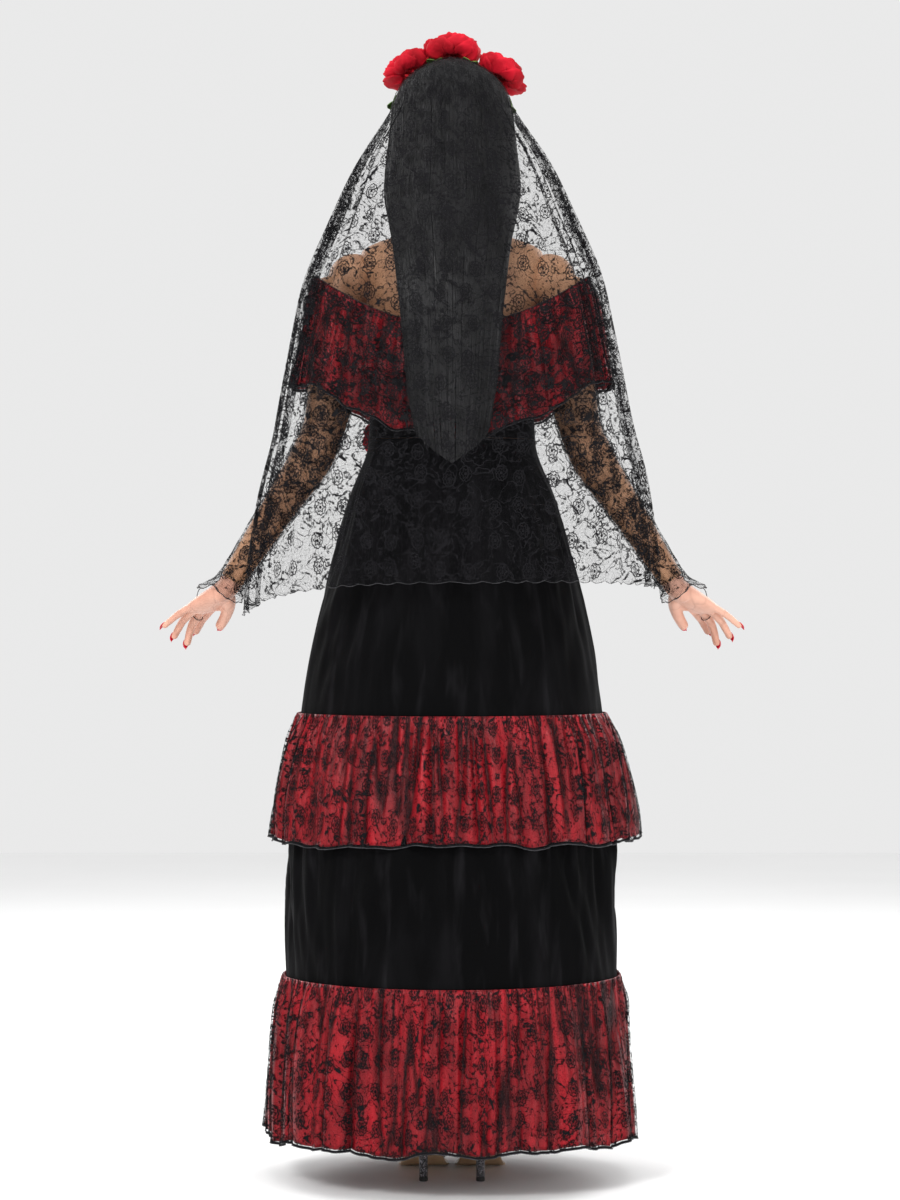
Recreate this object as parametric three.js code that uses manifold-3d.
// A life-size papier-mache catrina: a paper figure on a steel and wood armature, dressed in a tiered velvet
// gown with satin and lace ruffles, a long wig, a rose headband and a lace veil.
// Millimetres, +Z up, the figure faces -Y and stands on the floor at Z 0, its own left hand on +X.
import * as THREE from "three";
import { mergeVertices } from "three/addons/utils/BufferGeometryUtils.js";
import Module from "manifold-3d";

const wasm = await Module();
wasm.setup();

// -------------------- driving sizes
// Heights that stack up from the floor.
const heelHeight = 92; // floor to the heel seat of the shoe
const legLength = 812; // heel seat to the hip line
const hipToWaist = 243;
const waistToShoulder = 248; // waist to the axle that the arms turn on
const shoulderToNeckTop = 113;
const headHeight = 222;

// The paper body.
const hipWidth = 336;
const hipDepth = 214;
const waistWidth = 256;
const waistDepth = 160;
const bustWidth = 258;
const bustDepth = 214;
const shoulderWidth = 262; // between the flat sides that the arms turn against
const shoulderDepth = 146;
const neckWidth = 94;
const headWidth = 150;
const headDepth = 190;
const paperWall = 5;

// Arms, hands and legs.
const armRadius = 37;
const elbowRadius = 33;
const wristRadius = 23;
const upperArmLength = 247;
const forearmLength = 266;
const upperArmSpread = 7; // degrees out from the vertical
const forearmSpread = 33;
const palmLength = 78;
const palmWidth = 62;
const palmThickness = 24;
const thighRadius = 72;
const kneeRadius = 50;
const ankleRadius = 31;
const hipSpacing = 156;
const footSpacing = 88;

// Court shoes with a thin high heel.
const footLength = 232; // heel seat to toe
const heelSeatLength = 48;
const shoeWidth = 84;
const soleThickness = 5;
const upperThickness = 1.6;
const heelTipHeight = 7;
const heelRadius = 6.5;

// Armature.
const postRadius = 14;
const postY = 4; // the post, the arm axle and the neck turn in line with the neck
const axleRadius = 6;
const pegRadius = 6;
const legRodRadius = 6;
const hipBlockHeight = 36;
const pegLength = 44;
const nutRadius = 10;

// Gown, measured across: width at each level, then depth.
const skirtHipWidth = 392;
const skirtHipDepth = 318;
const skirtSeamWidth = 472; // where the middle ruffle is sewn on
const skirtSeamDepth = 412;
const skirtHemWidth = 516;
const skirtHemDepth = 496;
const middleRuffleWidth = 568;
const middleRuffleDepth = 506;
const hemRuffleWidth = 580;
const hemRuffleDepth = 556;
const hemClearance = 62; // floor to the lower edge of the gown
const hemRuffleHeight = 250;
const lowerTierHeight = 406;
const middleRuffleHeight = 196;
const bodiceHeight = 178;
const berthaHeight = 172;
const berthaDip = 80; // how far the neckline drops at the middle of the back and the front
const berthaFlare = 38; // how much wider each side is at the lower edge
const berthaBackFlare = 18;
const berthaTuck = 0.9; // how much its upper edge is drawn in against the bodice
const velvetThickness = 2;
const satinThickness = 1.5;
const laceThickness = 1;

// Hair, headband and veil.
const wigCapThickness = 1.2;
const hairThickness = 8;
const hairFallLength = 452; // from the nape to the ends
const hairFallThickness = 36;
const hairFallWidth = 148;
const bandWidth = 12;
const bandThickness = 4;
const roseRadius = 38;
const roseHeight = 44;
const roseLean = 0.62; // how far the roses lean forward, as a share of their rise
const waistRoseRadius = 30;
const veilLength = 852; // how far the veil's corners hang below the top of the head
const veilRise = 38; // how much shorter the veil is at the middle of the back
const veilWidth = 620; // across the lower edge
const veilThickness = 2;

const gap = 0.4; // between pieces that rest on each other
const pivotGap = 0.6; // round a pin that turns

// -------------------- levels
const hipZ = heelHeight + legLength;
const waistZ = hipZ + hipToWaist;
const shoulderZ = waistZ + waistToShoulder;
const neckTopZ = shoulderZ + shoulderToNeckTop;
const headZ = neckTopZ + gap;
const crownZ = headZ + headHeight;
const hemSeamZ = hemClearance + hemRuffleHeight;
const skirtSeamZ = hemSeamZ + lowerTierHeight;
const armX = shoulderWidth / 2 + pivotGap + armRadius;

// -------------------- geometry helpers
const rad = THREE.MathUtils.degToRad;
const lerp = THREE.MathUtils.lerp;
const v3 = (x, y, z) => new THREE.Vector3(x, y, z);

// A closed three.js geometry as a manifold-3d solid.
function solid(geometry) {
  const flat = geometry.index ? geometry.toNonIndexed() : geometry.clone();
  const bare = new THREE.BufferGeometry().setAttribute("position", flat.getAttribute("position"));
  const merged = mergeVertices(bare, 1e-3);
  const kept = [];
  const index = merged.index.array;
  for (let i = 0; i < index.length; i += 3) {
    const [a, b, c] = [index[i], index[i + 1], index[i + 2]];
    if (a !== b && b !== c && a !== c) kept.push(a, b, c);
  }
  const vertProperties = merged.attributes.position.array;
  const bodyOf = (triVerts) => new wasm.Manifold(new wasm.Mesh({ numProp: 3, vertProperties, triVerts }));
  const made = bodyOf(new Uint32Array(kept));
  if (made.volume() > 0) return made;
  for (let i = 0; i < kept.length; i += 3) [kept[i + 1], kept[i + 2]] = [kept[i + 2], kept[i + 1]];
  return bodyOf(new Uint32Array(kept));
}

// A manifold-3d solid as a three.js geometry.
function geometryOf(made) {
  const mesh = made.simplify(0.01).getMesh();
  const positions = new Float32Array(mesh.numVert * 3);
  for (let i = 0; i < mesh.numVert; i++) {
    positions.set(mesh.vertProperties.subarray(i * mesh.numProp, i * mesh.numProp + 3), i * 3);
  }
  return new THREE.BufferGeometry()
    .setAttribute("position", new THREE.BufferAttribute(positions, 3))
    .setIndex(new THREE.BufferAttribute(mesh.triVerts, 1));
}

const join = (first, ...rest) => rest.reduce((all, piece) => all.add(piece), first);
const cut = (first, ...rest) => rest.reduce((all, piece) => all.subtract(piece), first);

// Moves every vertex of a geometry to where place(point) says.
function reshape(geometry, place) {
  const at = geometry.getAttribute("position");
  const p = v3(0, 0, 0);
  for (let i = 0; i < at.count; i++) {
    place(p.fromBufferAttribute(at, i));
    at.setXYZ(i, p.x, p.y, p.z);
  }
  return geometry;
}

function box(low, high) {
  const size = high.clone().sub(low);
  const middle = low.clone().add(high).multiplyScalar(0.5);
  return solid(new THREE.BoxGeometry(size.x, size.y, size.z).translate(middle.x, middle.y, middle.z));
}

// A round rod between two points, tapering from one radius to the other.
function rod(from, to, radius, endRadius = radius, sides = 12) {
  const along = to.clone().sub(from);
  const turn = new THREE.Quaternion().setFromUnitVectors(v3(0, 1, 0), along.clone().normalize());
  const middle = from.clone().add(to).multiplyScalar(0.5);
  const cylinder = new THREE.CylinderGeometry(endRadius, radius, along.length(), sides);
  return solid(cylinder.applyQuaternion(turn).translate(middle.x, middle.y, middle.z));
}

// A value from rows of [position, value, value...], smooth through all of them.
function smooth(rows, at) {
  const last = rows.length - 1;
  let i = 0;
  while (i < last - 1 && at > rows[i + 1][0]) i++;
  const [before, a, b, after] = [rows[Math.max(i - 1, 0)], rows[i], rows[i + 1], rows[Math.min(i + 2, last)]];
  const span = b[0] - a[0];
  const t = THREE.MathUtils.clamp((at - a[0]) / span, 0, 1);
  return a.slice(1).map((value, k) => {
    const inSlope = i === 0 ? 0 : ((b[k + 1] - before[k + 1]) / (b[0] - before[0])) * span;
    const outSlope = i === last - 1 ? 0 : ((after[k + 1] - value) / (after[0] - a[0])) * span;
    const [t2, t3] = [t * t, t * t * t];
    return (
      (2 * t3 - 3 * t2 + 1) * value +
      (t3 - 2 * t2 + t) * inSlope +
      (3 * t2 - 2 * t3) * b[k + 1] +
      (t3 - t2) * outSlope
    );
  });
}

// An upright form with oval sections. Its rings are fixed, so every shell taken from it has parallel walls.
class Form {
  // fullness 2 gives ellipses, more than 2 gives sections with squarer corners.
  constructor(rows, step, sides, fullness = 2) {
    const [low, high] = [rows[0][0], rows[rows.length - 1][0]];
    const count = Math.max(2, Math.round((high - low) / step));
    this.sides = sides;
    this.fullness = fullness;
    this.rings = Array.from({ length: count + 1 }, (_, i) => {
      const z = lerp(low, high, i / count);
      return [z, ...smooth(rows, z)];
    });
  }

  // [half width, half depth, middle in Y] at a height, straight between rings.
  at(z) {
    const last = this.rings.length - 1;
    let i = 0;
    while (i < last - 1 && z > this.rings[i + 1][0]) i++;
    const [a, b] = [this.rings[i], this.rings[i + 1]];
    const t = (z - a[0]) / (b[0] - a[0]);
    return a.slice(1).map((value, k) => lerp(value, b[k + 1], t));
  }

  levels(low, high) {
    const between = this.rings.map((r) => r[0]).filter((z) => z > low + 0.5 && z < high - 0.5);
    return [low, ...between, high];
  }

  // The solid inside the form between two heights, with its walls moved out by offset.
  solid(low, high, offset = 0, domed = false) {
    const levels = this.levels(low, high);
    const profile = [new THREE.Vector2(0, low), ...levels.map((z) => new THREE.Vector2(1, z))];
    profile.push(new THREE.Vector2(0, domed ? high + offset : high));
    const lathe = new THREE.LatheGeometry(profile, this.sides).rotateX(Math.PI / 2);
    return solid(
      reshape(lathe, (p) => {
        const [width, depth, middle] = this.at(Math.min(p.z, high));
        const [x, y] = [Math.abs(p.x), Math.abs(p.y)];
        const corner = (x ** this.fullness + y ** this.fullness) ** (1 / this.fullness);
        const grow = corner > 0.01 ? Math.hypot(p.x, p.y) / corner : 1;
        p.x *= grow * (width + offset);
        p.y = middle + p.y * grow * (depth + offset);
      }),
    );
  }

  shell(low, high, inner, outer) {
    const [first, last] = [this.rings[0][0], this.rings.at(-1)[0]];
    return cut(this.solid(low, high, outer), this.solid(first - 1, last + 1, inner));
  }
}

// A bar with oval sections along a curve. sizes(t) gives its two half sizes, across side and square to it.
function bar(curve, sizes, side, sides, steps) {
  const profile = [new THREE.Vector2(0, 0)];
  for (let i = 0; i <= steps; i++) profile.push(new THREE.Vector2(1, i / steps));
  profile.push(new THREE.Vector2(0, 1));
  const lathe = new THREE.LatheGeometry(profile, sides);
  return solid(
    reshape(lathe, (p) => {
      const t = THREE.MathUtils.clamp(p.y, 0, 1);
      const along = curve.getTangent(t);
      const across = side.clone().addScaledVector(along, -side.dot(along)).normalize();
      const up = new THREE.Vector3().crossVectors(along, across);
      const [a, b] = sizes(t);
      const [x, y] = [p.x * a, p.z * b];
      p.copy(curve.getPoint(t)).addScaledVector(across, x).addScaledVector(up, y);
    }),
  );
}

// How a bar narrows towards rounded ends that take up the given shares of its length.
function roundEnds(t, start, end) {
  const near = start > 0 && t < start ? 1 - t / start : 0;
  const far = end > 0 && t > 1 - end ? 1 - (1 - t) / end : 0;
  return Math.sqrt(Math.max(1 - Math.max(near, far) ** 2, 0.02));
}

const figure = new THREE.Group();

function finish(color, roughness, metalness = 0) {
  return new THREE.MeshStandardMaterial({ color, roughness, metalness });
}

const paint = {
  skin: finish("#c08d62", 0.6),
  hand: finish("#d9a98f", 0.55),
  face: finish("#e9e4d8", 0.55),
  steel: finish("#8b8e92", 0.35, 0.9),
  wood: finish("#b58a5a", 0.7),
  velvet: finish("#0c0b0d", 0.9),
  satin: finish("#a3142a", 0.35),
  lace: finish("#141216", 0.85),
  hair: finish("#15151a", 0.45),
  rose: finish("#c1122b", 0.8),
  leaf: finish("#5c7a35", 0.8),
  leather: finish("#17151a", 0.35),
  sole: finish("#c39c6b", 0.5),
  band: finish("#101012", 0.7),
};

function add(name, made, material, group = figure) {
  const mesh = new THREE.Mesh(geometryOf(made), material);
  mesh.name = name;
  group.add(mesh);
  return mesh;
}

// -------------------- forms
const bustZ = waistZ + 0.58 * waistToShoulder;
const torsoForm = new Form(
  [
    [hipZ, hipWidth / 2, hipDepth / 2, 6],
    [hipZ + 0.3 * hipToWaist, hipWidth / 2 - 6, hipDepth / 2 - 4, 5],
    [hipZ + 0.62 * hipToWaist, lerp(hipWidth, waistWidth, 0.5) / 2, lerp(hipDepth, waistDepth, 0.5) / 2, 2],
    [waistZ, waistWidth / 2, waistDepth / 2, 0],
    [bustZ, bustWidth / 2, bustDepth / 2, -10],
    [shoulderZ, shoulderWidth / 2, shoulderDepth / 2, postY],
    [shoulderZ + 0.35 * shoulderToNeckTop, shoulderWidth / 2 - 22, shoulderDepth / 2 - 14, postY + 4],
    [shoulderZ + 0.66 * shoulderToNeckTop, neckWidth / 2 + 8, neckWidth / 2 + 4, postY + 4],
    [neckTopZ, neckWidth / 2, neckWidth / 2 + 2, postY],
  ],
  50,
  24,
);

const headForm = new Form(
  [
    [headZ, neckWidth / 2 + 4, 0.33 * headDepth, postY - 2],
    [headZ + 0.1 * headHeight, 0.4 * headWidth, 0.44 * headDepth, -8],
    [headZ + 0.3 * headHeight, 0.46 * headWidth, 0.485 * headDepth, -6],
    [headZ + 0.55 * headHeight, 0.5 * headWidth, 0.5 * headDepth, -3],
    [headZ + 0.76 * headHeight, 0.475 * headWidth, 0.485 * headDepth, 1],
    [headZ + 0.9 * headHeight, 0.36 * headWidth, 0.38 * headDepth, 3],
    [headZ + 0.97 * headHeight, 0.2 * headWidth, 0.22 * headDepth, 4],
    [crownZ - 2, 0.06 * headWidth, 0.07 * headDepth, 4],
  ],
  28,
  16,
);
const headTopZ = crownZ - 2; // the last ring, under the small dome

const skirtForm = new Form(
  [
    [hemSeamZ, skirtHemWidth / 2, skirtHemDepth / 2, 0],
    [skirtSeamZ, skirtSeamWidth / 2, skirtSeamDepth / 2, 0],
    [hipZ + 20, skirtHipWidth / 2, skirtHipDepth / 2, 3],
    [hipZ + 0.62 * hipToWaist, 0.82 * (skirtHipWidth / 2), 0.82 * (skirtHipDepth / 2), 2],
    [
      waistZ,
      torsoForm.at(waistZ)[0] + gap + velvetThickness,
      torsoForm.at(waistZ)[1] + gap + velvetThickness,
      torsoForm.at(waistZ)[2],
    ],
  ],
  100,
  24,
);

// A ruffle hangs from a seam and flares to its own lower edge.
function ruffleForm(topZ, topSize, bottomZ, width, depth) {
  const [topWidth, topDepth, middle] = topSize;
  return new Form(
    [
      [bottomZ, width / 2, depth / 2, middle],
      [lerp(bottomZ, topZ, 0.7), lerp(width / 2, topWidth, 0.5), lerp(depth / 2, topDepth, 0.5), middle],
      [topZ, topWidth, topDepth, middle],
    ],
    100,
    24,
  );
}

// -------------------- paper torso and armature
const hipBlockTop = hipZ + hipBlockHeight;
const postTop = headZ + 0.3 * headHeight;
const axleEnd = armX + armRadius - 6;
const hipPoint = (side) => v3((side * hipSpacing) / 2, 0, hipZ - gap);
const anklePoint = (side) => v3((side * footSpacing) / 2, 36, heelHeight + 72);
const rodFoot = (side) => anklePoint(side).lerp(hipPoint(side), 0.05);
const legWay = (side) => hipPoint(side).sub(anklePoint(side)).normalize();
const rodHead = (side) => hipPoint(side).addScaledVector(legWay(side), hipBlockHeight);

function axleHole() {
  return rod(v3(-axleEnd, postY, shoulderZ), v3(axleEnd, postY, shoulderZ), axleRadius + gap);
}

function makeTorso() {
  const hollow = torsoForm.solid(hipZ - 1, neckTopZ + 1, -paperWall);
  const shell = cut(torsoForm.solid(hipZ, neckTopZ), hollow, axleHole());
  const reach = 400;
  const front = box(v3(-reach, -reach, 0), v3(reach, -gap / 2, 2000));
  const back = box(v3(-reach, gap / 2, 0), v3(reach, reach, 2000));
  add("torso_front", shell.intersect(front), paint.skin);
  add("torso_back", shell.intersect(back), paint.skin);
}

function makeArmature() {
  const inside = -(paperWall + gap);
  const holes = [-1, 1].map((side) => {
    const along = rodHead(side).sub(rodFoot(side)).normalize();
    return rod(rodFoot(side), rodHead(side).addScaledVector(along, 20), legRodRadius + gap);
  });
  add("hip_block", cut(torsoForm.solid(hipZ, hipBlockTop, inside), ...holes), paint.wood);
  const neckBlockLow = lerp(shoulderZ, neckTopZ, 0.75);
  const upright = (low, high, radius) => rod(v3(0, postY, low), v3(0, postY, high), radius, radius, 20);
  const postHole = upright(neckBlockLow - 5, neckTopZ + 5, postRadius + gap);
  add("neck_block", cut(torsoForm.solid(neckBlockLow, neckTopZ, inside - 3 * gap), postHole), paint.wood);
  add("spine_post", cut(upright(hipBlockTop + gap, postTop, postRadius), axleHole()), paint.wood);
  const axle = rod(v3(-axleEnd, postY, shoulderZ), v3(axleEnd, postY, shoulderZ), axleRadius);
  add("arm_axle", axle, paint.steel);
  for (const [word, side] of [["left", 1], ["right", -1]]) {
    add("leg_rod_" + word, rod(rodFoot(side), rodHead(side), legRodRadius), paint.steel);
  }
}

// -------------------- the left leg and shoe; the right is its mirror
// A shoe's own frame has the middle of its heel seat at Y 0 and the toe towards -Y.
const ballY = -0.66 * footLength;

// The top of the sole seen from the side, lifted by a little.
function soleLine(lift) {
  return new THREE.SplineCurve([
    new THREE.Vector2(heelSeatLength / 2 + 8, heelHeight + 2 + lift),
    new THREE.Vector2(0, heelHeight + lift),
    new THREE.Vector2(-heelSeatLength / 2, heelHeight - 9 + lift),
    new THREE.Vector2(lerp(-heelSeatLength / 2, ballY, 0.5), heelHeight * 0.45 + lift),
    new THREE.Vector2(ballY + 34, soleThickness + 8 + lift),
    new THREE.Vector2(ballY, soleThickness + lift),
    new THREE.Vector2(ballY - 40, soleThickness + lift),
    new THREE.Vector2(-footLength, soleThickness + lift),
  ]).getPoints(10);
}

// A plate across the foot between two side-view lines.
function acrossFoot(points) {
  const shape = new THREE.Shape(points);
  const plate = new THREE.ExtrudeGeometry(shape, { depth: shoeWidth + 40, bevelEnabled: false });
  return solid(plate.translate(0, 0, -shoeWidth / 2 - 20).rotateY(Math.PI / 2).rotateX(Math.PI / 2));
}

function footPrint() {
  const half = shoeWidth / 2;
  const outline = new THREE.SplineCurve([
    new THREE.Vector2(0, heelSeatLength / 2 + 4),
    new THREE.Vector2(0.62 * half, 6),
    new THREE.Vector2(0.52 * half, 0.4 * ballY),
    new THREE.Vector2(0.95 * half, 0.94 * ballY),
    new THREE.Vector2(0.78 * half, 0.86 * -footLength),
    new THREE.Vector2(0.12 * half, -footLength + 14),
    new THREE.Vector2(-0.66 * half, 0.84 * -footLength),
    new THREE.Vector2(-0.92 * half, 0.92 * ballY),
    new THREE.Vector2(-0.56 * half, 0.4 * ballY),
    new THREE.Vector2(-0.62 * half, 6),
    new THREE.Vector2(0, heelSeatLength / 2 + 4),
  ]);
  const shape = new THREE.Shape(outline.getPoints(16).slice(0, -1));
  return solid(new THREE.ExtrudeGeometry(shape, { depth: heelHeight + 60, bevelEnabled: false }));
}

// The region across the foot below a side-view line.
function below(points) {
  const [back, front] = [points[0], points.at(-1)];
  const toeEnd = -footLength - 30;
  const corners = [[toeEnd, front.y], [toeEnd, -40], [60, -40], [60, back.y]];
  return acrossFoot([...points, ...corners.map(([y, z]) => new THREE.Vector2(y, z))]);
}

function footSolid(offset) {
  const line = new THREE.CatmullRomCurve3([
    v3(0, 26, heelHeight + 24),
    v3(0, -12, heelHeight + 20),
    v3(0, -52, heelHeight * 0.82),
    v3(0, -98, heelHeight * 0.48),
    v3(0, ballY + 4, 22),
    v3(0, -footLength + 22, 15),
  ]);
  const rows = [
    [0, 24, 25],
    [0.25, 26, 27],
    [0.5, 28, 24],
    [0.78, 36, 17],
    [1, 25, 11],
  ];
  const sizes = (t) => smooth(rows, t).map((half) => (half + offset) * roundEnds(t, 0.1, 0.14));
  return bar(line, sizes, v3(1, 0, 0), 12, 8);
}

function legSolid(offset) {
  const [hip, ankle] = [hipPoint(1), anklePoint(1)];
  const line = new THREE.CatmullRomCurve3([
    hip,
    v3(hipSpacing * 0.41, 0, lerp(hipZ, ankle.z, 0.4)),
    v3(footSpacing * 0.6, 14, lerp(hipZ, ankle.z, 0.64)),
    ankle,
    v3(ankle.x, ankle.y + 6, heelHeight + 30),
  ]);
  const rows = [
    [0, thighRadius, thighRadius + 6],
    [0.52, kneeRadius, kneeRadius + 2],
    [0.7, kneeRadius - 8, kneeRadius - 2],
    [1, ankleRadius - 5, ankleRadius - 2],
  ];
  return bar(line, (t) => smooth(rows, t).map((half) => half + offset), v3(1, 0, 0), 12, 7);
}

function makeLeg(group) {
  const ankle = anklePoint(1);
  const placed = (made) => made.translate([ankle.x, ankle.y + 14, 0]);
  const along = rodHead(1).sub(rodFoot(1)).normalize();
  const rodStart = rodFoot(1).addScaledVector(along, -gap);
  const rodHole = rod(rodStart, rodHead(1).addScaledVector(along, 40), legRodRadius + gap);
  const aboveHip = box(v3(-200, -200, hipZ - gap), v3(400, 200, hipZ + 200));
  const overSole = placed(below(soleLine(gap)));
  const limb = join(legSolid(0), placed(footSolid(0)));
  add("leg_and_foot", cut(limb, rodHole, aboveHip, overSole), paint.skin, group);

  const sole = cut(below(soleLine(0)), below(soleLine(-soleThickness))).intersect(footPrint());
  add("shoe_sole", placed(sole), paint.sole, group);

  // The upper covers the heel and the toes and is low along the sides of the foot.
  const rim = [
    [60, heelHeight + 40],
    [14, heelHeight + 36],
    [-24, heelHeight + 12],
    [-72, heelHeight * 0.8],
    [ballY + 36, 46],
    [ballY + 16, 44],
    [ballY + 8, 60],
    [ballY + 8, 300],
    [60, 300],
  ];
  const opening = acrossFoot(rim.map(([y, z]) => new THREE.Vector2(y, z)));
  const upper = cut(footSolid(gap + upperThickness), footSolid(gap), below(soleLine(gap)), opening);
  add("shoe_upper", cut(placed(upper), legSolid(gap)), paint.leather, group);

  const heelLine = new THREE.LineCurve3(v3(0, 4, heelTipHeight + gap), v3(0, 0, heelHeight + 20));
  const heelRows = [
    [0, heelRadius, heelRadius],
    [0.5, heelRadius + 1, heelRadius + 1],
    [0.72, 13, 13],
    [1, 27, 27],
  ];
  const heel = bar(heelLine, (t) => smooth(heelRows, t), v3(1, 0, 0), 14, 6);
  add("shoe_heel", placed(heel.intersect(below(soleLine(-soleThickness - gap)))), paint.leather, group);
  add("heel_tip", placed(rod(v3(0, 4, 0), v3(0, 4, heelTipHeight), heelRadius)), paint.band, group);
}

// -------------------- arms and hands, the left ones
const shoulder = v3(armX, postY, shoulderZ);
const upperArmWay = v3(Math.sin(rad(upperArmSpread)), 0.02, -Math.cos(rad(upperArmSpread)));
const elbow = shoulder.clone().addScaledVector(upperArmWay, upperArmLength);
const forearmWay = v3(Math.sin(rad(forearmSpread)), -0.03, -Math.cos(rad(forearmSpread))).normalize();
const wrist = elbow.clone().addScaledVector(forearmWay, forearmLength);
const handWay = v3(0.62, -0.66, -0.42).normalize();
const armLine = new THREE.CatmullRomCurve3([
  shoulder,
  shoulder.clone().lerp(elbow, 0.5),
  shoulder.clone().lerp(elbow, 0.86),
  elbow.clone().lerp(wrist, 0.14),
  elbow.clone().lerp(wrist, 0.5),
  wrist,
]);

const armSides = 12;
const armSteps = 8;

// The arm's two half sizes at a share of its length, fuller by offset.
function armSizes(t, offset) {
  const rows = [
    [0, armRadius, armRadius],
    [0.3, armRadius - 2, armRadius - 1],
    [0.5, elbowRadius, elbowRadius],
    [0.66, elbowRadius - 1, elbowRadius + 1],
    [1, wristRadius + 2, wristRadius - 4],
  ];
  return smooth(rows, t).map((half) => half + offset);
}

function makeArm(group) {
  const flatSide = box(v3(-400, -300, 0), v3(shoulderWidth / 2 + pivotGap, 300, 2000));
  const sphere = new THREE.SphereGeometry(armRadius, 12, 7).rotateX(Math.PI / 2);
  const ball = solid(sphere.translate(shoulder.x, shoulder.y, shoulder.z));
  const limb = bar(armLine, (t) => armSizes(t, 0), v3(0, 1, 0), armSides, armSteps);
  const pivot = rod(v3(0, postY, shoulderZ), v3(axleEnd, postY, shoulderZ), axleRadius + pivotGap);
  const nutSink = rod(v3(armX + 8, postY, shoulderZ), v3(armX + 60, postY, shoulderZ), nutRadius + 2);
  const beyond = rod(wrist.clone(), wrist.clone().addScaledVector(forearmWay, 30), 60);
  const along = (distance) => wrist.clone().addScaledVector(forearmWay, distance);
  const pegHole = rod(along(-pegLength / 2 - 1), along(20), pegRadius + pivotGap);
  add("arm", cut(join(limb, ball), flatSide, pivot, nutSink, beyond, pegHole), paint.skin, group);
  const nutX = armX + 8 + pivotGap;
  const washer = rod(v3(nutX, postY, shoulderZ), v3(nutX + 2, postY, shoulderZ), nutRadius + 1);
  add("axle_washer", cut(washer, axleHole()), paint.steel, group);
  const nutStart = v3(nutX + 2 + gap, postY, shoulderZ);
  const nut = rod(nutStart, v3(nutX + 11, postY, shoulderZ), nutRadius, nutRadius, 6);
  add("axle_nut", cut(nut, axleHole()), paint.steel, group);
}

// The sleeve begins under the shoulder ruffle and widens a little at the wrist.
const sleeveStart = 0.12;
const sleeveEase = 0.6;
const sleeveFlare = 6;

function sleeveSolid(offset) {
  const sizes = (t) => armSizes(t, offset + sleeveFlare * Math.max(t - 0.75, 0));
  return bar(armLine, sizes, v3(0, 1, 0), armSides, armSteps);
}

function makeSleeve(group) {
  const top = armLine.getPoint(sleeveStart);
  const towardsShoulder = armLine.getTangent(sleeveStart).negate();
  const aboveTop = rod(top, top.clone().addScaledVector(towardsShoulder, 2 * armRadius + 60), 80);
  const cuff = wrist.clone().addScaledVector(forearmWay, -gap);
  const belowCuff = rod(cuff, cuff.clone().addScaledVector(forearmWay, 60), 80);
  const limb = bar(armLine, (t) => armSizes(t, gap), v3(0, 1, 0), armSides, armSteps);
  const tube = cut(sleeveSolid(sleeveEase + laceThickness), sleeveSolid(sleeveEase));
  const sleeve = cut(tube, limb, aboveTop, belowCuff);
  add("sleeve", sleeve, paint.lace, group);
}

// The hand in its own frame: +Z from wrist to fingertips, +X towards the little finger, +Y out of its back.
const fingers = [
  { word: "index", x: -0.36, lean: -5, curl: 12, long: 66, thick: 7.6 },
  { word: "middle", x: -0.12, lean: -1, curl: 22, long: 74, thick: 7.8 },
  { word: "ring", x: 0.13, lean: 4, curl: 16, long: 67, thick: 7.3 },
  { word: "little", x: 0.37, lean: 10, curl: 8, long: 53, thick: 6.4 },
];

function fingerSolid({ x, lean, curl, long, thick }) {
  const root = v3(x * palmWidth, 0, palmLength - 12);
  const way = (bend) => v3(Math.sin(rad(lean)), -Math.sin(rad(bend)), Math.cos(rad(bend)));
  const middle = root.clone().addScaledVector(way(curl * 0.4), long * 0.5);
  const tip = middle.clone().addScaledVector(way(curl * 1.8), long * 0.5);
  const line = new THREE.CatmullRomCurve3([root, middle, tip]);
  const half = (t) => thick * lerp(1.04, 0.72, t) * roundEnds(t, 0, 0.12);
  return bar(line, (t) => [half(t), half(t)], v3(1, 0, 0), 6, 4);
}

function handSolid() {
  const palmLine = new THREE.LineCurve3(v3(0, 0, 4), v3(0, 0, palmLength));
  const rows = [
    [0, wristRadius - 2, wristRadius - 6],
    [0.35, palmWidth * 0.42, palmThickness * 0.56],
    [0.8, palmWidth * 0.5, palmThickness * 0.46],
    [1, palmWidth * 0.46, palmThickness * 0.34],
  ];
  const palmSizes = (t) => smooth(rows, t).map((half) => half * roundEnds(t, 0, 0.12));
  const palm = bar(palmLine, palmSizes, v3(1, 0, 0), 10, 5);
  const thumbLine = new THREE.CatmullRomCurve3([v3(-16, -4, 16), v3(-36, -16, 44), v3(-42, -26, 78)]);
  const thumbHalf = (t) => lerp(12, 7, t) * roundEnds(t, 0.2, 0.14);
  const thumb = bar(thumbLine, (t) => [thumbHalf(t), thumbHalf(t)], v3(0, 1, 0), 6, 4);
  return join(palm, thumb, ...fingers.map(fingerSolid));
}

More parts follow.
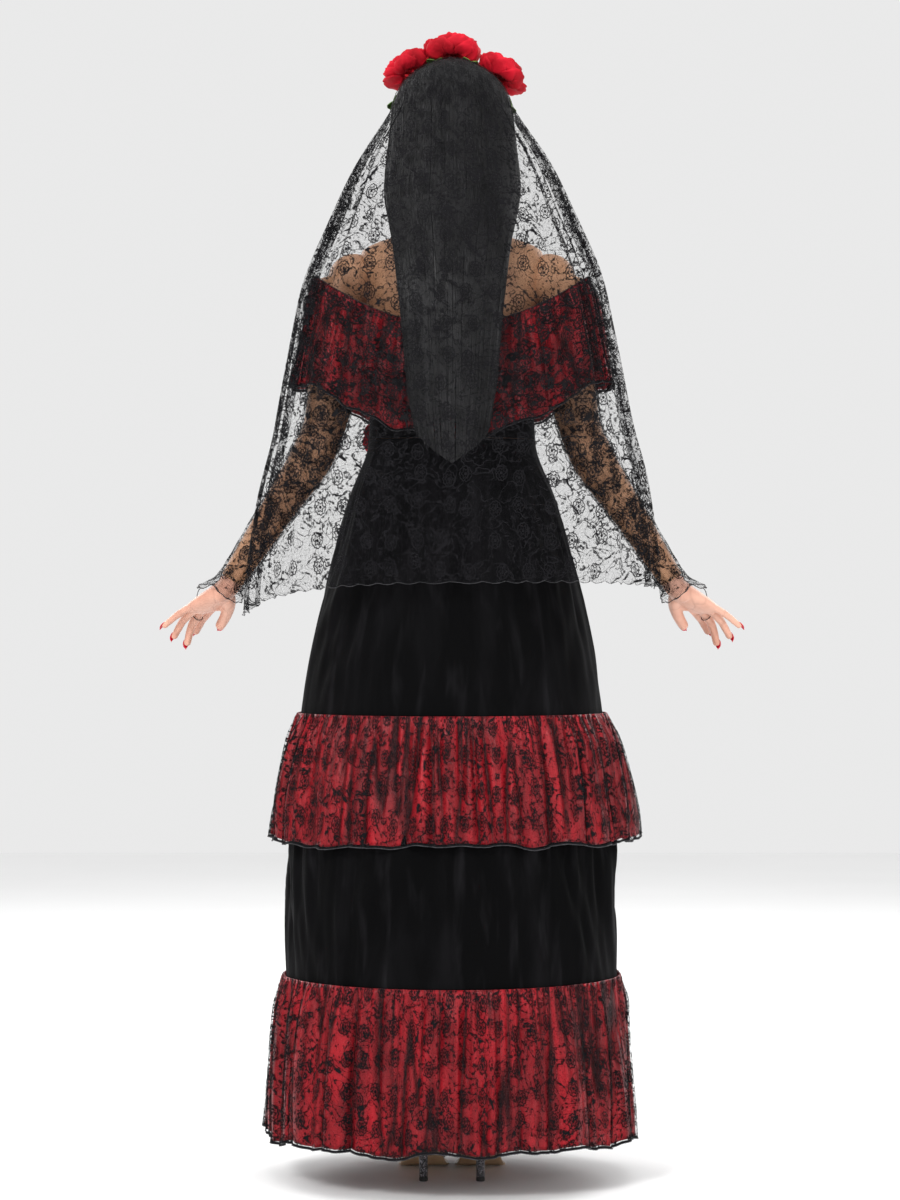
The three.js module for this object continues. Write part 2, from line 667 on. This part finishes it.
function makeHand(group) {
  const back = v3(0, 0, 1).addScaledVector(handWay, -handWay.z).normalize();
  const little = new THREE.Vector3().crossVectors(back, handWay);
  const turn = new THREE.Matrix4().makeBasis(little, back, handWay);
  const start = wrist.clone().addScaledVector(forearmWay, 16);
  const placed = handSolid().transform(turn.setPosition(start).elements);
  const stubStart = wrist.clone().addScaledVector(forearmWay, pivotGap);
  const stubEnd = start.clone().addScaledVector(handWay, 12);
  const stub = bar(
    new THREE.CatmullRomCurve3([stubStart, start.clone().addScaledVector(forearmWay, -4), stubEnd]),
    () => [wristRadius + 1, wristRadius - 5],
    v3(0, 1, 0),
    14,
    3,
  );
  const along = (distance) => wrist.clone().addScaledVector(forearmWay, distance);
  const armSide = rod(along(-90), stubStart, 120);
  const pegHole = rod(along(-10), along(pegLength / 2 + gap), pegRadius + gap);
  add("hand", cut(join(placed, stub), armSide, pegHole), paint.hand, group);
  add("wrist_peg", rod(along(-pegLength / 2), along(pegLength / 2), pegRadius), paint.wood, group);
}

// -------------------- head, wig and headband
const hairInner = gap + wigCapThickness + gap;
const hairOuter = hairInner + hairThickness;
// The back of the long hair's lower part, which hangs clear of the shoulder ruffle.
const hairBackY = bustDepth / 2 + berthaBackFlare + hairFallThickness;

function makeHead() {
  const inner = -paperWall;
  const shell = cut(headForm.solid(headZ, headTopZ), headForm.solid(headZ - 1, headTopZ - paperWall, inner));
  const split = headForm.at(headZ + 0.5 * headHeight)[2];
  const reach = 200;
  add("face_mask", shell.intersect(box(v3(-reach, -reach, 0), v3(reach, split - gap / 2, 3000))), paint.face);
  add("head_back", shell.intersect(box(v3(-reach, split + gap / 2, 0), v3(reach, reach, 3000))), paint.face);
  const socketTop = postTop + 10;
  const boreRadius = postRadius + pivotGap;
  const bore = rod(v3(0, postY, headZ - 5), v3(0, postY, postTop + pivotGap), boreRadius, boreRadius, 20);
  add("neck_socket", cut(headForm.solid(headZ, socketTop, inner - gap), bore), paint.wood);
}

// Behind this slanting plane the head is covered with hair.
function behindHairline(lift) {
  const slant = rad(20);
  const slab = new THREE.BoxGeometry(500, 400, 900).translate(0, 200, 0).rotateX(slant);
  return solid(slab.translate(0, -26 - lift, headZ + 0.5 * headHeight));
}

function makeWig() {
  const low = headZ + 0.16 * headHeight;
  const scalp = (inner, outer, lift) => {
    const hollow = headForm.solid(low - 1, headTopZ, inner, true);
    return cut(headForm.solid(low, headTopZ, outer, true), hollow).intersect(behindHairline(lift));
  };
  add("wig_cap", scalp(gap, gap + wigCapThickness, -4), paint.band);
  add("hair_crown", scalp(hairInner, hairOuter, 0), paint.hair);
  // The long fall: an oval bar down the back, from the crown hair's lower edge.
  const [, headHalf, headMiddle] = headForm.at(low);
  const startY = headMiddle + headHalf + 3 + hairFallThickness / 2;
  const backY = hairBackY - hairFallThickness / 2;
  const top = low - gap;
  const line = new THREE.CatmullRomCurve3([
    v3(0, startY - 4, top + 14),
    v3(0, startY, top),
    v3(0, lerp(startY, backY, 0.3), top - 0.2 * hairFallLength),
    v3(0, lerp(startY, backY, 0.9), top - 0.46 * hairFallLength),
    v3(0, backY, top - 0.82 * hairFallLength),
    v3(0, backY + 4, top - hairFallLength),
  ]);
  const rows = [
    [0, headWidth / 2 + hairOuter + 8, hairFallThickness / 2],
    [0.3, hairFallWidth / 2 + 12, hairFallThickness / 2],
    [0.6, hairFallWidth / 2 - 4, hairFallThickness / 2],
    [1, hairFallWidth / 2 - 34, 8],
  ];
  const fall = bar(line, (t) => smooth(rows, t), v3(1, 0, 0), 16, 10);
  const above = box(v3(-300, -300, top), v3(300, 400, top + 300));
  add("hair_fall", cut(fall, above), paint.hair);
}

// The headband arches over the hair from ear to ear, in a plane square to Y.
const bandY = -18;
const bandFootZ = headZ + 0.46 * headHeight;

// Half the width of the head at a height in the band's plane, outside a layer of the given thickness.
function widthAtBand(z, layer) {
  const [halfWidth, halfDepth, middle] = headForm.at(Math.min(z, headTopZ));
  const shrink = 1 - Math.max(z - headTopZ, 0) / layer;
  const share = (bandY - middle) / ((halfDepth + layer) * shrink);
  return Math.abs(share) < 1 ? (halfWidth + layer) * shrink * Math.sqrt(1 - share * share) : 0;
}

function bandArc(lift) {
  const layer = hairOuter + gap + lift;
  let [low, high] = [bandFootZ, crownZ + layer];
  for (let i = 0; i < 30; i++) {
    const middle = (low + high) / 2;
    if (widthAtBand(middle, layer) > 0) low = middle;
    else high = middle;
  }
  const points = Array.from({ length: 17 }, (_, i) => {
    const angle = (Math.PI * i) / 16;
    const z = lerp(bandFootZ, low, Math.sin(angle));
    return v3(Math.sign(Math.cos(angle)) * widthAtBand(z, layer), bandY, z);
  });
  points[8].x = 0;
  return new THREE.CatmullRomCurve3(points);
}

// The band, made larger all round by an ease.
function bandSolid(ease) {
  const sizes = () => [bandWidth / 2 + ease, bandThickness / 2 + ease];
  return bar(bandArc(bandThickness / 2), sizes, v3(0, 1, 0), 6, 20);
}

function makeHeadband() {
  const scalp = headForm.solid(bandFootZ - 20, headTopZ, hairOuter + gap, true);
  add("headband", cut(bandSolid(0), scalp), paint.band);
}

// A rose: a turned cup of petals on a short base, standing on its +Z axis.
function roseSolid(radius, height) {
  const profile = [
    [0, 0],
    [0.1, 0],
    [0.14, 0.16],
    [0.62, 0.26],
    [0.94, 0.46],
    [1, 0.62],
    [0.82, 0.66],
    [0.78, 0.9],
    [0.5, 0.86],
    [0.42, 1],
    [0, 0.94],
  ].map(([r, z]) => new THREE.Vector2(r * radius, z * height));
  const lathe = new THREE.LatheGeometry(profile, 10).rotateX(Math.PI / 2);
  return solid(
    reshape(lathe, (p) => {
      const petal = 1 + 0.06 * Math.cos(5 * Math.atan2(p.y, p.x)) * Math.min(1, p.z / height);
      p.x *= petal;
      p.y *= petal;
    }),
  );
}

function upright(direction) {
  const turn = new THREE.Quaternion().setFromUnitVectors(v3(0, 0, 1), direction.clone().normalize());
  return new THREE.Matrix4().makeRotationFromQuaternion(turn);
}

function makeRoses() {
  const seat = bandArc(bandThickness - gap);
  const taken = bandSolid(gap);
  for (const [word, share] of [["left", 0.3], ["middle", 0.5], ["right", 0.72]]) {
    const at = seat.getPoint(share);
    const along = seat.getTangent(share);
    const out = new THREE.Vector3().crossVectors(v3(0, 1, 0), along).negate();
    if (out.z < 0) out.negate();
    const lean = out.clone().add(v3(0, -roseLean, 0));
    const rose = roseSolid(roseRadius, roseHeight).transform(upright(lean).setPosition(at).elements);
    add("rose_" + word, cut(rose, taken), paint.rose);
  }
  // Small leaves lie on the band between the roses.
  const leafLift = 1.3;
  const places = [["outer_left", 0.17], ["inner_left", 0.4], ["inner_right", 0.61], ["outer_right", 0.85]];
  for (const [word, share] of places) {
    const at = seat.getPoint(share);
    const along = seat.getTangent(share);
    const out = new THREE.Vector3().crossVectors(along, v3(0, 1, 0));
    if (out.dot(at.clone().sub(v3(0, bandY, bandFootZ))) < 0) out.negate();
    const line = new THREE.CatmullRomCurve3([
      at.clone().addScaledVector(v3(0, 1, 0), -18).addScaledVector(out, leafLift),
      at.clone().addScaledVector(v3(0, 1, 0), -6).addScaledVector(out, leafLift),
      at.clone().addScaledVector(v3(0, 1, 0), 5).addScaledVector(out, leafLift),
    ]);
    const leaf = bar(line, (t) => [Math.max(0.8, 8 * Math.sin(Math.PI * t)), 0.8], along, 8, 6);
    add("leaf_" + word, cut(leaf, taken), paint.leaf);
  }
}

// -------------------- gown
function makeGown() {
  const bodiceTop = waistZ + bodiceHeight;
  add("bodice", torsoForm.shell(waistZ, bodiceTop, gap, gap + velvetThickness), paint.velvet);
  const inside = skirtForm.solid(hemSeamZ - 1, waistZ, -velvetThickness);
  add("skirt_upper_tier", cut(skirtForm.solid(skirtSeamZ, waistZ - gap), inside), paint.velvet);
  add("skirt_lower_tier", cut(skirtForm.solid(hemSeamZ, skirtSeamZ - gap), inside), paint.velvet);
  const seams = [
    ["middle_ruffle", skirtSeamZ, skirtSeamZ - middleRuffleHeight, middleRuffleWidth, middleRuffleDepth],
    ["hem_ruffle", hemSeamZ, hemClearance, hemRuffleWidth, hemRuffleDepth],
  ];
  for (const [word, topZ, bottomZ, width, depth] of seams) {
    const layers = laceThickness + gap + satinThickness;
    const [halfWidth, halfDepth, middle] = skirtForm.at(topZ);
    const size = [halfWidth + gap + layers, halfDepth + gap + layers, middle];
    const form = ruffleForm(topZ, size, bottomZ, width, depth);
    add(word + "_satin", form.shell(bottomZ, topZ, -layers, -laceThickness - gap), paint.satin);
    add(word + "_lace", form.shell(bottomZ, topZ, -laceThickness, 0), paint.lace);
  }
}

// The off-the-shoulder ruffle goes round the arms and the bust; each layer is a left and a right half.
const berthaTop = shoulderZ + 4;
const [, bustHalf, bustMiddle] = torsoForm.at(bustZ);
const berthaSize = [armX + armRadius + 6, bustHalf - berthaTuck + velvetThickness + 2 * gap, bustMiddle];

function dipped(made) {
  return made.warp((p) => {
    const share = Math.min(Math.abs(p[0]) / berthaSize[0], 1);
    p[2] -= berthaDip * (1 - share * share);
  });
}

function makeBertha() {
  const grow = satinThickness + gap + laceThickness;
  const form = new Form(
    [
      [
        berthaTop - berthaHeight,
        berthaSize[0] + berthaFlare + grow,
        berthaSize[1] + berthaBackFlare + grow,
        berthaSize[2],
      ],
      [berthaTop, berthaSize[0] + grow, berthaSize[1] + grow, berthaSize[2]],
    ],
    90,
    24,
    3,
  );
  const layers = [
    ["satin", -grow, -grow + satinThickness, paint.satin],
    ["lace", -laceThickness, 0, paint.lace],
  ];
  for (const [word, inner, outer, material] of layers) {
    const ring = dipped(form.shell(berthaTop - berthaHeight, berthaTop, inner, outer));
    add(`bertha_${word}_left`, ring.intersect(box(v3(gap / 2, -600, 0), v3(600, 600, 2000))), material);
    add(`bertha_${word}_right`, ring.intersect(box(v3(-600, -600, 0), v3(-gap / 2, 600, 2000))), material);
  }
}

function makeWaistRose() {
  const z = waistZ + waistRoseRadius * 0.2;
  const [halfWidth, halfDepth, middle] = torsoForm.at(z);
  const angle = rad(-36);
  const out = v3(Math.cos(angle) / halfWidth, Math.sin(angle) / halfDepth, 0).normalize();
  const skin = velvetThickness + gap;
  const at = v3((halfWidth + skin) * Math.cos(angle), middle + (halfDepth + skin) * Math.sin(angle), z);
  const made = roseSolid(waistRoseRadius, 26).transform(upright(out).setPosition(at).elements);
  const waist = torsoForm.solid(waistZ - 60, waistZ + 60, velvetThickness + 2 * gap);
  add("waist_rose", cut(made, waist), paint.rose);
}

// -------------------- veil
const veilEdgeY = bandY + bandWidth / 2 + 2; // it begins behind the headband
const veilTop = headTopZ + hairOuter + gap + veilThickness / 2 + 0.4;
const veilDropsOverHead = [0, 0.001, 0.009, 0.02, 0.037, 0.06, 0.09, 0.13];
const veilDropsBelow = [0.2, 0.29, 0.38, 0.46, 0.54, 0.62, 0.7, 0.8, 0.9, 1];
const veilDrops = [...veilDropsOverHead, ...veilDropsBelow];

// Where the veil lies over the hair, at a share of the head's height.
function overHair(share) {
  const z = headZ + share * headHeight;
  const [halfWidth, halfDepth, middle] = headForm.at(z);
  const room = hairOuter + 10;
  return [(veilTop - z) / veilLength, halfWidth + room, middle + halfDepth + room, veilEdgeY];
}

// A point of the veil: share -1..1 across, drop 0..1 down.
function veilPoint(share, drop) {
  const rows = [
    [0, 40, veilEdgeY + 1, veilEdgeY],
    [0.001, 42, 14, veilEdgeY],
    [0.009, 48, 36, veilEdgeY],
    overHair(0.96),
    overHair(0.92),
    overHair(0.85),
    overHair(0.7),
    [0.2, 158, 122, -10],
    [0.3, 190, hairBackY - 23, -9],
    [0.41, armX + armRadius + 20, hairBackY - 9, -8],
    [0.52, armX + armRadius + 38, hairBackY + 2, -8],
    [0.61, armX + armRadius + berthaFlare + 20, hairBackY + 8, -4],
    [0.7, 276, hairBackY + 14, 30],
    [0.81, 300, hairBackY + 24, 56],
    [1, veilWidth / 2, 206, 66],
  ];
  const [halfWidth, backY, edgeY] = smooth(rows, drop);
  const angle = share * (Math.PI / 2) * 0.98;
  const x = halfWidth * Math.sign(share) * Math.abs(Math.sin(angle)) ** 0.8;
  const sag = (crownZ - bandFootZ) * (1 - Math.sqrt(1 - Math.min(Math.abs(x) / 90, 0.9) ** 2));
  const length = veilLength - veilRise * Math.cos(angle);
  const nearEdge = Math.max(0, 1 - 60 * drop);
  const z = veilTop - length * drop - 0.8 * sag * nearEdge;
  return v3(x, edgeY + (backY - edgeY) * Math.cos(angle) ** 0.8, z);
}

function makeVeil() {
  const rows = veilDrops.length - 1;
  const sheet = new THREE.BoxGeometry(2, 1, rows, 14, 1, rows);
  const made = reshape(sheet, (p) => {
    const [share, drop, side] = [p.x, veilDrops[Math.round(rows / 2 - p.z)], p.y];
    const at = veilPoint(share, drop);
    const step = 0.01;
    const [nearLeft, nearRight] = [Math.min(share + step, 1), Math.max(share - step, -1)];
    const across = veilPoint(nearLeft, drop).sub(veilPoint(nearRight, drop));
    const down = veilPoint(share, Math.min(drop + step, 1)).sub(veilPoint(share, Math.max(drop - step, 0)));
    const out = across.cross(down).normalize().negate();
    p.copy(at).addScaledVector(out, side * veilThickness);
  });
  add("veil", solid(made), paint.lace);
}

// -------------------- assembly
// Sets a left-hand part, or its mirror image, into the figure with the side's name on each mesh.
function bothSides(make) {
  for (const [word, mirror] of [["left", 1], ["right", -1]]) {
    const group = new THREE.Group();
    make(group);
    group.scale.x = mirror;
    for (const mesh of group.children) mesh.name += "_" + word;
    figure.add(group);
  }
}

makeTorso();
makeArmature();
bothSides(makeLeg);
bothSides(makeArm);
bothSides(makeSleeve);
bothSides(makeHand);
makeHead();
makeWig();
makeHeadband();
makeRoses();
makeGown();
makeBertha();
makeWaistRose();
makeVeil();

export default figure;
